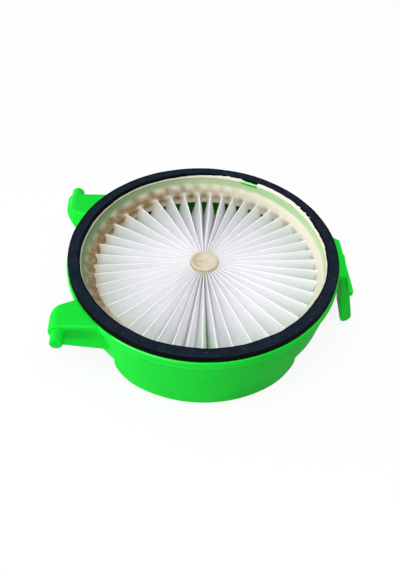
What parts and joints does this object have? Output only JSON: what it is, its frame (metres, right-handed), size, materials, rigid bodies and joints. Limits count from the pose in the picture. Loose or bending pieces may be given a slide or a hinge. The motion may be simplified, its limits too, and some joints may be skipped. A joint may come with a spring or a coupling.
{
  "type": "vacuum cleaner pleated filter",
  "caption": "Round pleated air filter in a drafted plastic bowl with hinge ears, a latch lever and a foam gasket on its rim.",
  "frame": {"origin": "on the bowl's axis, at the underside of its foot", "axes": "+Z along the bowl's axis towards the gasket, +X towards the latch lever, hinge ears at -X, hinge pins along Y"},
  "size_m": [0.1521, 0.1368, 0.0445],
  "materials": {
    "housing_plastic": "gloss moulded",
    "gasket_foam": "matt foam with a skin",
    "film_glue": "dried glue",
    "potting_glue": "poured glue",
    "filter_paper": "matt non-woven sheet",
    "hub_glue": "poured glue"
  },
  "bodies": {
    "root": {"housing": "housing_plastic", "gasket": "gasket_foam", "gasket_film": "film_glue", "potting_ring": "potting_glue", "filter_media": "filter_paper", "hub_plug": "hub_glue"}
  },
  "joints": []
}
